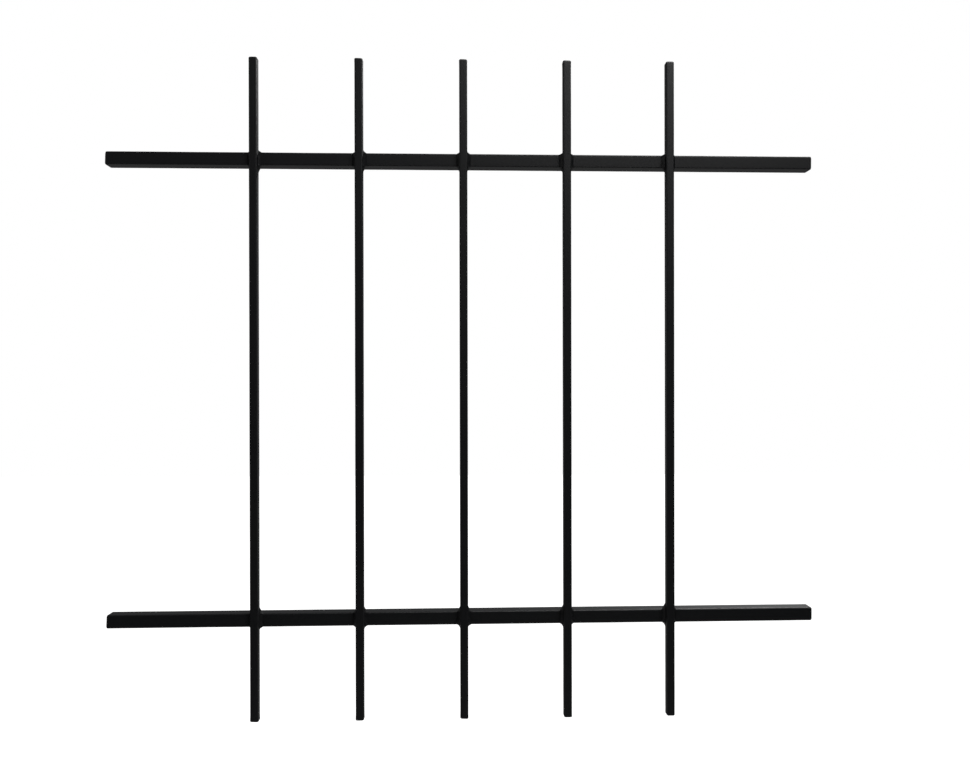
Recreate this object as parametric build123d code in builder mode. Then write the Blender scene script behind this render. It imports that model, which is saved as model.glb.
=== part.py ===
from build123d import *

import os

# A window security grille of solid square steel bar. Five upright bars are lapped on the
# front of two level rails, and every crossing is fillet welded along both sides of the bar.
# Millimetres, over the powder coat. The origin is the middle of the grille's own box, +X
# runs along the rails, +Z runs up the bars, and -Y faces the street, so the rails' backs
# face the wall.

# Rails
rail_length = 870.0
rail_section = 16.5
rail_spacing = 563.0
rail_edge_radius = 1.5
rail_end_radius = 2.5

# Upright bars
bar_count = 5
bar_pitch = 127.0
bar_section = 10.0
bar_overhang = 121.0
bar_edge_radius = 1.5
bar_end_radius = 2.0

# Fillet welds: the leg lies on the bar and on the rail, the spill runs past the rail's
# edges, and the wrap is how far the metal laps round onto the rail's top and underside.
weld_leg = 4.0
weld_toe = 0.4
weld_crown = 0.3
weld_spill = 5.0
weld_hollow = 0.9
weld_wrap = 2.5

# Places worked out from the sizes above
bar_length = rail_spacing + 2 * bar_overhang
front_y = -(bar_section + rail_section) / 2
lap_y = front_y + bar_section
bar_y = front_y + bar_section / 2
rail_y = lap_y + rail_section / 2
rail_heights = {"top": rail_spacing / 2, "bottom": -rail_spacing / 2}
bar_places = [(n - (bar_count - 1) / 2) * bar_pitch for n in range(bar_count)]
weld_sides = {"left": -1, "right": 1}

os.makedirs("parts", exist_ok=True)


def make_rail(rail_z):
    """A level rail: square bar with eased edges, its two sawn ends dressed rounder."""
    middle = (0, rail_y, rail_z)
    with BuildPart() as rail:
        with BuildSketch(Plane(origin=middle, x_dir=(0, 1, 0), z_dir=(1, 0, 0))):
            RectangleRounded(rail_section, rail_section, rail_edge_radius)
        extrude(amount=rail_length / 2, both=True)
        for facing in ((0, -1, 0), (0, 0, 1)):
            with BuildSketch(Plane(origin=middle, x_dir=(1, 0, 0), z_dir=facing)):
                RectangleRounded(rail_length, rail_section, rail_end_radius)
            extrude(amount=rail_section, both=True, mode=Mode.INTERSECT)
    return rail.part


def make_bar(bar_x):
    """An upright bar, whose back lies flat on the front of both rails."""
    middle = (bar_x, bar_y, 0)
    with BuildPart() as bar:
        with BuildSketch(Plane(origin=middle, x_dir=(1, 0, 0), z_dir=(0, 0, 1))):
            RectangleRounded(bar_section, bar_section, bar_edge_radius)
        extrude(amount=bar_length / 2, both=True)
        for facing in ((0, -1, 0), (1, 0, 0)):
            with BuildSketch(Plane(origin=middle, x_dir=(0, 0, 1), z_dir=facing)):
                RectangleRounded(bar_length, bar_section, bar_end_radius)
            extrude(amount=bar_section, both=True, mode=Mode.INTERSECT)
    return bar.part


def make_weld(bar_x, side, rail_z, rail_solid):
    """One bead in the corner between a bar's side and a rail's front, side -1 left or 1 right.

    Its crowned section runs the rail's height and a spill past each edge, where a hollow
    curve takes it back to the bar. The rail's own shape is cut away, so the metal past the
    edges sits down over them.
    """
    corner = (bar_x + side * bar_section / 2, lap_y, rail_z)
    across = Plane(origin=corner, x_dir=(side, 0, 0), z_dir=(0, 0, side))
    upright = Plane(origin=corner, x_dir=(side, 0, 0), z_dir=(0, -side, 0))
    edge_height = rail_section / 2
    reach = edge_height + weld_spill
    with BuildPart() as weld:
        with BuildSketch(across):
            with BuildLine():
                legs = Polyline(
                    (weld_toe, -weld_leg), (0, -weld_leg), (0, weld_wrap), (weld_leg, 0), (weld_leg, -weld_toe)
                )
                SagittaArc(legs @ 1, legs @ 0, weld_crown)
            make_face()
        extrude(amount=reach, both=True)
        with BuildSketch(upright):
            with BuildLine():
                foot = Polyline((weld_toe, -reach), (0, -reach), (0, reach), (weld_toe, reach))
                edge = Line((weld_leg, edge_height), (weld_leg, -edge_height))
                SagittaArc(edge @ 0, foot @ 1, weld_hollow)
                SagittaArc(foot @ 0, edge @ 1, weld_hollow)
            make_face()
        extrude(amount=weld_leg + weld_wrap, both=True, mode=Mode.INTERSECT)
        add(rail_solid, mode=Mode.SUBTRACT)
    return weld.part


def save(part, name):
    """Labels a finished piece and writes it to its own file."""
    part.label = name
    export_step(part, f"parts/{name}.step")


for level, rail_z in rail_heights.items():
    rail_solid = make_rail(rail_z)
    save(rail_solid, f"{level}_rail")
    for number, bar_x in enumerate(bar_places, start=1):
        for side_name, side in weld_sides.items():
            save(make_weld(bar_x, side, rail_z, rail_solid), f"weld_{level}_{number}_{side_name}")

for number, bar_x in enumerate(bar_places, start=1):
    save(make_bar(bar_x), f"bar_{number}")
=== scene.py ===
import math
import random

import bpy
from mathutils import Matrix, Vector
from mathutils.noise import noise as perlin


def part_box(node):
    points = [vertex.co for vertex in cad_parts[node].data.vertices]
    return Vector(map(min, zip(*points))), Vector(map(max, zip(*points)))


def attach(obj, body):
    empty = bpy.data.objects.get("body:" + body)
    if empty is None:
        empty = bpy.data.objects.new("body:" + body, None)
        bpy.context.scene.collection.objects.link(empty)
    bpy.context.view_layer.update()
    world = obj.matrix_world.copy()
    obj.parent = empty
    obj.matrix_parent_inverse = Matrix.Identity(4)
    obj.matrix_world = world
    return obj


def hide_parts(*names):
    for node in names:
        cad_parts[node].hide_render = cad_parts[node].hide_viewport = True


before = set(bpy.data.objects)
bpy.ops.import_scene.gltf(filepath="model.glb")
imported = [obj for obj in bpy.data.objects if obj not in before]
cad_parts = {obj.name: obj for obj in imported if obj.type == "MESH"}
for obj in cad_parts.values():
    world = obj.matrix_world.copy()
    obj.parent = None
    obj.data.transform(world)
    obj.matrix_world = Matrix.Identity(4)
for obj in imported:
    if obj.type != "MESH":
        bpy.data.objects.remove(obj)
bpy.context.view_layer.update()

# A window security grille of powder-coated square bar, hung in a pale studio and seen from
# the street. Metres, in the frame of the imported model: +X right, +Y to the wall, +Z up.

MM = 0.001
BODY = "root"
QUARTER_TURN = math.pi / 2
SEED_RANGE = 100
RANDOM = random.Random(7)

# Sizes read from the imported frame
RAIL_LOW, RAIL_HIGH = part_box("top_rail")
LAP_Y = RAIL_LOW.y
RAIL_HALF = (RAIL_HIGH.z - RAIL_LOW.z) / 2
LEVELS = ("top", "bottom")
BAR_NUMBERS = range(1, 6)

# Square bar: how its edges and sawn ends are dressed
RAIL_EDGE_RADIUS = 1.5 * MM
RAIL_END_RADIUS = 2.5 * MM
BAR_EDGE_RADIUS = 1.5 * MM
BAR_END_RADIUS = 2.0 * MM

# Square bar: how uneven hot-rolled bar is, how far from square its ends are sawn, and how the
# saw flares them, by a random share of TIP_FLARE that is LEAST_FLARE or more
DENT_DEPTH = 0.12 * MM
DENT_SIZE = 30 * MM
END_SLOPE = 0.05
TIP_FLARE = 0.45 * MM
TIP_FLARE_LENGTH = 9 * MM
LEAST_FLARE = 0.2

# Square bar: steps round an edge, round an end and across a flat, and rings along the bar. No
# edge is rounder than this share of half the bar, so that its flats never vanish.
EDGE_STEPS = 6
END_STEPS = 6
FLAT_STEPS = 4
RING_SPACING = 5 * MM
LARGEST_RADIUS = 0.99

# Weld beads on the face of the rail: the leg lies on the bar and on the rail, and wanders. A
# power of 2 makes a flat bead, and less a crowned one. The sunk parts are hidden in the bars.
LEG = 3.8 * MM
LEG_SPREAD = 0.1
WANDER = 0.08
WANDER_SIZE = 4 * MM
CROWN_POWER = 1.85
TOE_SUNK = 0.1 * MM
BACK_SUNK = 0.3 * MM
SIDE_SUNK = 0.15 * MM

# Weld beads past the edge of the rail: they lap round it, by WRAP at the bar and by a share of
# that at the toe, and are fully lapped at LAPPED_PAST
WEB_POWER = 1.3
WRAP = 2.5 * MM
TOE_WRAP = 0.45
LAPPED_PAST = 0.6 * RAIL_EDGE_RADIUS
CREST_SOFTNESS = 0.7 * MM
CREST_SAMPLES = 3

# Weld beads where they run out on the bar: shares of the leg that they still climb and that
# they sink into the bar's side, and how far forward the back of the tip comes
TIP_CLIMB = 0.6
TIP_SUNK = 0.05
TIP_FORWARD = 1.4 * MM

# The metal that fills the hollow behind the eased back edge of the bar, where it starts and
# the share of the bead's climb that it takes
FILL_DEPTH = 1.6 * MM
FILL_FORWARD = 0.3 * MM
FILL_SHARE = 0.3

# Ripples across the beads: the lag bows them, because the middle of a weld pool freezes last
RIPPLE_PITCH = 1.5 * MM
RIPPLE_DEPTH = 0.13 * MM
RIPPLE_MIDDLE = 0.7
RIPPLE_LAG = 1.2 * MM
RIPPLE_JITTER = 0.5 * MM
VALLEY_SOFTNESS = 0.08

# Weld beads: points across the face and round the back, and rings along the bead
FACE_STEPS = 12
BACK_STEPS = 5
BEAD_ROW = 0.25 * MM

# How far each bead runs past its rail, in millimetres, judged from the photograph:
# upper left, upper right, lower left and lower right of each crossing, from bar 1 to bar 5.
SPILLS_MM = {
    "top": (
        (0.8, 3.2, 8.4, 9.4),
        (1.4, 4.8, 7.4, 7.4),
        (1.4, 4.6, 6.8, 6.4),
        (2.2, 1.6, 6.4, 7.8),
        (1.0, 3.0, 5.6, 9.0),
    ),
    "bottom": (
        (7.4, 8.4, 4.4, 3.2),
        (7.4, 8.4, 4.4, 4.4),
        (7.8, 7.8, 5.6, 3.2),
        (8.0, 7.8, 6.2, 3.2),
        (9.0, 8.4, 6.2, 3.2),
    ),
}

# How hollow the beads run out below and above each rail: 2 is a quarter circle, 1 is
# straight. Those that face the middle of the grille are fuller.
HOLLOWS = {"top": (1.2, 2.0), "bottom": (2.0, 1.2)}

# Powder coat: a dark base under a thin glossy skin
COAT_DARK = (0.0034, 0.0036, 0.0040, 1)
COAT_PALE = (0.0048, 0.0050, 0.0054, 1)
COAT_ROUGHNESS = (0.5, 0.6)
SKIN_WEIGHT = 0.066
SKIN_ROUGHNESS = 0.4
SKIN_IOR = 3.0
TINT_SIZE = 25 * MM
GLOSS_SIZE = 18 * MM
PEEL_SIZE = 2.2 * MM
GRAIN_SIZE = 0.4 * MM
GRAIN_DEPTH = 0.004 * MM
RAIL_PEEL_DEPTH = 0.03 * MM
BAR_PEEL_DEPTH = 0.025 * MM
WELD_PEEL_DEPTH = 0.02 * MM
USUAL_NOISE = (0.3, 0.7)

# The photograph's camera, worked out from the outlines of the bars and rails
CAMERA_PLACE = Vector((-5.6, -966.6, 4.8)) * MM
CAMERA_AIM = Vector((26.2, -3.5, 2.8)) * MM
CAMERA_ROLL = math.radians(-0.105)
CAMERA_LENS_MM = 29.05
SENSOR_MM = 36.0

# Lamps: place, aim, side length across and up, and how bright each alone would make a white
# card that faces it at its aim
LAMPS = {
    "key": ((1.0, -2.0, 2.6), (0, 0, 0), (1.6, 1.6), 1.4),
    "side": ((-1.9, -0.9, 0.3), (0, 0, 0), (0.6, 1.6), 0.14),
    "rim": ((1.15, 1.55, 1.4), (0.3, 0, -0.27), (0.5, 0.5), 1.7),
}

# Studio: a wide pale floor well below the hung grille, and dark screens round the camera
FLOOR_Z = -2.4
FLOOR_SIZE = 40
FLOOR_GREY = (0.75, 0.75, 0.75, 1)
FLOOR_GLOW = 0.85
WHITE = (1, 1, 1, 1)
WORLD_LEVEL = 0.5
SCREEN_GREY = (0.02, 0.02, 0.02, 1)
SCREEN_FRONT_Y = -2.6
SCREEN_SIDE_X = 2.0
SCREEN_SIDE_END_Y = 0.1
SCREEN_TOP_Z = 3.2
SCREEN_TOP_END_Y = 4.0


def middle_of(node):
    """The middle of a CAD node's box."""
    low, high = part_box(node)
    return (low + high) / 2


def smooth_step(value, low, high):
    """0 below low, 1 above high, and a soft slope between."""
    t = min(1.0, max(0.0, (value - low) / (high - low)))
    return t * t * (3 - 2 * t)


def make_piece(name, rings, nodes):
    """Rings of points joined end to end: a closed, smooth-shaded mesh that stands for CAD nodes."""
    count = len(rings[0])
    last = (len(rings) - 1) * count
    faces = [tuple(reversed(range(count))), tuple(range(last, last + count))]
    for start in range(0, last, count):
        for n in range(count):
            a, b = start + n, start + (n + 1) % count
            faces.append((a, b, b + count, a + count))
    mesh = bpy.data.meshes.new(name)
    mesh.from_pydata([point for points in rings for point in points], [], faces)
    mesh.polygons.foreach_set("use_smooth", [True] * len(mesh.polygons))
    piece = bpy.data.objects.new(name, mesh)
    bpy.context.scene.collection.objects.link(piece)
    piece.modifiers.new("normals", "WEIGHTED_NORMAL")
    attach(piece, BODY)
    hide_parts(*nodes)
    return piece


def rounded_square(half, radius):
    """Points round a square with rounded corners, given half its width."""
    radius = min(radius, half * LARGEST_RADIUS)
    flat = half - radius
    points = []
    for quarter in range(4):
        turn = Matrix.Rotation(quarter * QUARTER_TURN, 2)
        for n in range(FLAT_STEPS):
            points.append(turn @ Vector((half, flat * (2 * n / FLAT_STEPS - 1))))
        for n in range(EDGE_STEPS):
            angle = n / EDGE_STEPS * QUARTER_TURN
            points.append(turn @ Vector((flat + radius * math.cos(angle), flat + radius * math.sin(angle))))
    return points


def stations(length, end_radius):
    """Places along a bar, from end to end, and how far the dressing draws each one in."""
    half = length / 2
    ends = []
    for n in range(END_STEPS + 1):
        angle = n / END_STEPS * QUARTER_TURN
        ends.append((half - end_radius * (1 - math.sin(angle)), end_radius * (1 - math.cos(angle))))
    middle = half - end_radius
    count = round(2 * middle / RING_SPACING)
    inner = [(middle * (2 * n / count - 1), 0.0) for n in range(1, count)]
    return [(-place, draw) for place, draw in reversed(ends)] + inner + ends


def square_bar(name, node, along_x, edge_radius, end_radius, flare):
    """A dressed length of square bar in the place of a CAD bar, dented and never proud of it."""
    low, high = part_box(node)
    middle = middle_of(node)
    length = max(high - low)
    half = min(high - low) / 2
    seed = RANDOM.uniform(0, SEED_RANGE)
    slopes = {end: RANDOM.uniform(-1, 1) * END_SLOPE for end in (-1, 1)}
    flares = {end: RANDOM.uniform(LEAST_FLARE, 1) * flare for end in (-1, 1)}
    turn = Matrix(((0, 0, 1), (0, 1, 0), (-1, 0, 0))) if along_x else Matrix.Identity(3)
    rings = []
    for place, draw in stations(length, end_radius):
        end = 1 if place > 0 else -1
        from_end = length / 2 - abs(place)
        widen = flares[end] * max(0, 1 - from_end / TIP_FLARE_LENGTH) ** 2
        points = []
        for across, depth in rounded_square(half - draw, edge_radius):
            spot = Vector((place, across, depth)) / DENT_SIZE + Vector((seed, 0, 0))
            shrink = 1 - DENT_DEPTH * (0.5 + 0.5 * perlin(spot)) / half
            slope = abs(slopes[end]) * half + slopes[end] * across
            lean = slope * max(0, 1 - from_end / (2 * half))
            point = Vector((across * shrink * (1 + widen / half), depth * shrink, place - end * lean))
            points.append(middle + turn @ point)
        rings.append(points)
    return make_piece(name, rings, [node])


def web_width(past, spill, hollow):
    """How wide a bead still is some way past its rail's edge: 1 at the edge, 0 at the spill's end."""
    if past <= 0:
        return 1.0
    if past >= spill:
        return 0.0
    return 1 - (1 - (1 - past / spill) ** hollow) ** (1 / hollow)


def bead_width(height, lower, upper):
    """How wide a bead is at a height on its rail, its crest softened by averaging along it."""
    total = 0.0
    for n in range(-CREST_SAMPLES, CREST_SAMPLES + 1):
        at = height + n / CREST_SAMPLES * CREST_SOFTNESS
        spill, hollow = upper if at > 0 else lower
        total += web_width(abs(at) - RAIL_HALF, spill, hollow)
    return total / (2 * CREST_SAMPLES + 1)


def ripple(along):
    """Height of the ripples, 0 to 1: round crests between narrow, softened valleys."""
    wave = math.sin(math.pi * along / RIPPLE_PITCH) ** 2
    return math.sqrt((wave + VALLEY_SOFTNESS) / (1 + VALLEY_SOFTNESS))


def bead_section(height, width, leg, seed):
    """A bead's outline at one height: points (out from the bar's side, forward of the rail's face)."""
    lapped = smooth_step(abs(height), RAIL_HALF - RAIL_EDGE_RADIUS, RAIL_HALF + LAPPED_PAST)
    tip = (1 - width) ** 2
    place = height / WANDER_SIZE
    wide = 1 + WANDER * perlin(Vector((place, seed, 0)))
    tall = 1 + WANDER * perlin(Vector((place, 0, seed)))
    reach = leg * (width * wide - TIP_SUNK * (1 - width))
    climb = leg * (TIP_CLIMB + (1 - TIP_CLIMB) * width) * tall
    back = BACK_SUNK + (WRAP - BACK_SUNK) * lapped
    toe = -TOE_SUNK - TOE_WRAP * back * lapped
    toe += (TIP_FORWARD - toe) * tip
    back -= (TIP_FORWARD + back) * tip
    power = CROWN_POWER + (WEB_POWER - CROWN_POWER) * lapped
    jitter = RIPPLE_JITTER * perlin(Vector((place, seed, seed)))
    points = []
    for n in range(FACE_STEPS + 1):
        angle = n / FACE_STEPS * QUARTER_TURN
        out = -SIDE_SUNK + (reach + SIDE_SUNK) * math.sin(angle) ** power
        forward = toe + (climb - toe) * math.cos(angle) ** power
        lag = RIPPLE_LAG * (2 * n / FACE_STEPS - 1) ** 2
        lift = RIPPLE_DEPTH * (ripple(height + lag + jitter + seed) - RIPPLE_MIDDLE)
        lift *= math.sin(2 * angle) * width
        points.append((out + lift, forward + lift))
    for n in range(1, BACK_STEPS + 1):
        angle = n / BACK_STEPS * QUARTER_TURN
        out = -SIDE_SUNK + (reach + SIDE_SUNK) * math.cos(angle)
        points.append((out, toe - (back + toe) * math.sin(angle)))
    fill = FILL_FORWARD + TIP_FORWARD * tip
    points.append((-FILL_DEPTH, fill))
    points.append((-FILL_DEPTH, fill + FILL_SHARE * (climb - toe)))
    return points


def weld_node(level, number, side):
    """The CAD node of a weld bead."""
    return f"weld_{level}_{number}_{'right' if side > 0 else 'left'}"


def weld_bead(level, number, side, lower, upper):
    """One rippled fillet weld in the corner of a bar's side and a rail's front.

    Lower and upper are how far it runs past the rail's edges, and how hollow it runs out.
    """
    bar_low, bar_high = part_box(f"bar_{number}")
    corner_x = bar_high.x if side > 0 else bar_low.x
    rail_z = middle_of(f"{level}_rail").z
    seed = RANDOM.uniform(0, SEED_RANGE)
    leg = LEG * RANDOM.uniform(1 - LEG_SPREAD, 1 + LEG_SPREAD)
    bottom = -RAIL_HALF - lower[0] - CREST_SOFTNESS
    top = RAIL_HALF + upper[0] + CREST_SOFTNESS
    count = round((top - bottom) / BEAD_ROW)
    rings = []
    for row in range(count + 1):
        height = bottom + (top - bottom) * row / count
        z = rail_z + height
        section = bead_section(height, bead_width(height, lower, upper), leg, seed)
        points = [Vector((corner_x + side * out, LAP_Y - forward, z)) for out, forward in section]
        rings.append(points if side > 0 else points[::-1])
    node = weld_node(level, number, side)
    return make_piece(f"rippled_{node}", rings, [node])


def add_node(tree, kind, **settings):
    """A shader node, with inputs given by name and other settings as attributes."""
    node = tree.nodes.new(kind)
    for key, value in settings.items():
        if key in node.inputs:
            node.inputs[key].default_value = value
        else:
            setattr(node, key, value)
    return node


def set_inputs(node, values):
    """Sets a node's inputs from a dictionary of their names and values."""
    for key, value in values.items():
        node.inputs[key].default_value = value


def noise(tree, place, size, detail):
    """Noise whose spots are about size metres across, in the object's own space."""
    texture = add_node(tree, "ShaderNodeTexNoise", Scale=1 / size, Detail=detail)
    tree.links.new(place, texture.inputs["Vector"])
    return texture.outputs["Fac"]


def bump(tree, height, depth, below=None):
    """Height, from 0 to 1, as a bump depth metres deep, laid over an earlier bump."""
    node = add_node(tree, "ShaderNodeBump", Strength=1.0, Distance=depth)
    tree.links.new(height, node.inputs["Height"])
    if below:
        tree.links.new(below, node.inputs["Normal"])
    return node.outputs["Normal"]


def spread(tree, value, low, high):
    """Carries a value from where noise mostly lies to low..high."""
    node = add_node(tree, "ShaderNodeMapRange")
    usual_low, usual_high = USUAL_NOISE
    set_inputs(node, {"From Min": usual_low, "From Max": usual_high, "To Min": low, "To Max": high})
    tree.links.new(value, node.inputs["Value"])
    return node.outputs["Result"]


def powder_coat(name, peel_depth):
    """Near-black satin powder coat: orange peel, fine grain and slow changes of gloss."""
    material = bpy.data.materials.new(name)
    material.use_nodes = True
    tree = material.node_tree
    shader = tree.nodes["Principled BSDF"]
    set_inputs(shader, {
        "Specular IOR Level": 0.0,
        "Coat Weight": SKIN_WEIGHT,
        "Coat Roughness": SKIN_ROUGHNESS,
        "Coat IOR": SKIN_IOR,
    })
    place = add_node(tree, "ShaderNodeTexCoord").outputs["Object"]
    tint = add_node(tree, "ShaderNodeValToRGB")
    tint.color_ramp.elements[0].color = COAT_DARK
    tint.color_ramp.elements[1].color = COAT_PALE
    tree.links.new(noise(tree, place, TINT_SIZE, detail=4), tint.inputs["Fac"])
    tree.links.new(tint.outputs["Color"], shader.inputs["Base Color"])
    gloss = spread(tree, noise(tree, place, GLOSS_SIZE, detail=3), *COAT_ROUGHNESS)
    tree.links.new(gloss, shader.inputs["Roughness"])
    peel = bump(tree, noise(tree, place, PEEL_SIZE, detail=1), peel_depth)
    grain = bump(tree, noise(tree, place, GRAIN_SIZE, detail=2), GRAIN_DEPTH, peel)
    tree.links.new(grain, shader.inputs["Normal"])
    tree.links.new(grain, shader.inputs["Coat Normal"])
    return material


def dress(piece, material):
    """Gives a piece its coat."""
    piece.data.materials.append(material)


def make_bars():
    """The two rails and the five upright bars."""
    rail_coat = powder_coat("rail_coat", RAIL_PEEL_DEPTH)
    bar_coat = powder_coat("bar_coat", BAR_PEEL_DEPTH)
    for level in LEVELS:
        name = f"dressed_{level}_rail"
        rail = square_bar(name, f"{level}_rail", True, RAIL_EDGE_RADIUS, RAIL_END_RADIUS, 0)
        dress(rail, rail_coat)
    for number in BAR_NUMBERS:
        name = f"dressed_bar_{number}"
        bar = square_bar(name, f"bar_{number}", False, BAR_EDGE_RADIUS, BAR_END_RADIUS, TIP_FLARE)
        dress(bar, bar_coat)


def make_welds():
    """Two beads at each of the ten crossings."""
    weld_coat = powder_coat("weld_coat", WELD_PEEL_DEPTH)
    for level in LEVELS:
        lower_hollow, upper_hollow = HOLLOWS[level]
        for number, spills in zip(BAR_NUMBERS, SPILLS_MM[level]):
            upper_left, upper_right, lower_left, lower_right = spills
            for side, low, high in ((-1, lower_left, upper_left), (1, lower_right, upper_right)):
                bead = weld_bead(level, number, side, (low * MM, lower_hollow), (high * MM, upper_hollow))
                dress(bead, weld_coat)


def make_lamp(name, place, aim, size, level):
    """A soft rectangular lamp, which the camera doesn't see."""
    place, aim = Vector(place), Vector(aim)
    data = bpy.data.lights.new(name, "AREA")
    data.shape = "RECTANGLE"
    data.size, data.size_y = size
    data.energy = level * math.pi ** 2 * (aim - place).length_squared
    lamp = bpy.data.objects.new(name, data)
    lamp.location = place
    lamp.rotation_mode = "QUATERNION"
    lamp.rotation_quaternion = (aim - place).to_track_quat("-Z", "Y")
    lamp.visible_camera = False
    bpy.context.scene.collection.objects.link(lamp)


def make_lamps():
    """Every lamp of the studio."""
    for name, (place, aim, size, level) in LAMPS.items():
        make_lamp(name, place, aim, size, level)


def matt_material(name, colour):
    """A plain material with no gloss, and its shader."""
    material = bpy.data.materials.new(name)
    material.use_nodes = True
    shader = material.node_tree.nodes["Principled BSDF"]
    set_inputs(shader, {"Base Color": colour, "Roughness": 1.0, "Specular IOR Level": 0.0})
    return material, shader


def make_screen(name, corners):
    """A dark studio screen, which the camera doesn't see, to keep the front of the room dim."""
    mesh = bpy.data.meshes.new(name)
    mesh.from_pydata(corners, [], [(0, 1, 2, 3)])
    screen = bpy.data.objects.new(name, mesh)
    bpy.context.scene.collection.objects.link(screen)
    mesh.materials.append(matt_material(name, SCREEN_GREY)[0])
    screen.visible_camera = False


def make_screens():
    """Screens in front of the grille, beside the camera's place and overhead."""
    x, near, low, top = SCREEN_SIDE_X, SCREEN_FRONT_Y, FLOOR_Z, SCREEN_TOP_Z
    make_screen("front_screen", [(-x, near, low), (x, near, low), (x, near, top), (-x, near, top)])
    far = SCREEN_SIDE_END_Y
    make_screen("left_screen", [(-x, near, low), (-x, far, low), (-x, far, top), (-x, near, top)])
    make_screen("right_screen", [(x, near, low), (x, far, low), (x, far, top), (x, near, top)])
    far = SCREEN_TOP_END_Y
    make_screen("top_screen", [(-x, near, top), (x, near, top), (x, far, top), (-x, far, top)])


def seen(tree):
    """1 for a ray from the camera, or one by way of metal or glass, and 0 for light."""
    path = add_node(tree, "ShaderNodeLightPath")
    either = add_node(tree, "ShaderNodeMath", operation="MAXIMUM")
    tree.links.new(path.outputs["Is Camera Ray"], either.inputs[0])
    tree.links.new(path.outputs["Is Glossy Ray"], either.inputs[1])
    every = add_node(tree, "ShaderNodeMath", operation="MAXIMUM")
    tree.links.new(either.outputs[0], every.inputs[0])
    tree.links.new(path.outputs["Is Transmission Ray"], every.inputs[1])
    return every.outputs[0]


def make_world():
    """White where it is seen, and a plain soft level of light everywhere else."""
    world = bpy.data.worlds.new("studio")
    bpy.context.scene.world = world
    world.use_nodes = True
    tree = world.node_tree
    background = tree.nodes["Background"]
    level = add_node(tree, "ShaderNodeMapRange")
    set_inputs(level, {"To Min": WORLD_LEVEL, "To Max": 1.0})
    tree.links.new(seen(tree), level.inputs["Value"])
    set_inputs(background, {"Color": WHITE})
    tree.links.new(level.outputs["Result"], background.inputs["Strength"])


def make_floor():
    """A wide pale floor, white where it is seen unshaded."""
    bpy.ops.mesh.primitive_plane_add(size=FLOOR_SIZE, location=(0, 0, FLOOR_Z))
    floor = bpy.context.object
    floor.name = "floor"
    material, shader = matt_material("floor", FLOOR_GREY)
    tree = material.node_tree
    set_inputs(shader, {"Emission Color": WHITE})
    glow = add_node(tree, "ShaderNodeMath", operation="MULTIPLY")
    glow.inputs[1].default_value = FLOOR_GLOW
    tree.links.new(seen(tree), glow.inputs[0])
    tree.links.new(glow.outputs[0], shader.inputs["Emission Strength"])
    floor.data.materials.append(material)


def make_camera():
    """The photograph's own viewpoint: straight on, a little under a metre away."""
    data = bpy.data.cameras.new("camera")
    data.lens = CAMERA_LENS_MM
    data.sensor_width = SENSOR_MM
    data.sensor_fit = "HORIZONTAL"
    camera = bpy.data.objects.new("camera", data)
    camera.location = CAMERA_PLACE
    look = (CAMERA_AIM - CAMERA_PLACE).to_track_quat("-Z", "Y")
    camera.rotation_mode = "QUATERNION"
    camera.rotation_quaternion = look @ Matrix.Rotation(CAMERA_ROLL, 3, "Z").to_quaternion()
    bpy.context.scene.collection.objects.link(camera)
    bpy.context.scene.camera = camera


make_bars()
make_welds()
make_lamps()
make_screens()
make_world()
make_floor()
make_camera()
bpy.context.scene.view_settings.view_transform = "Standard"
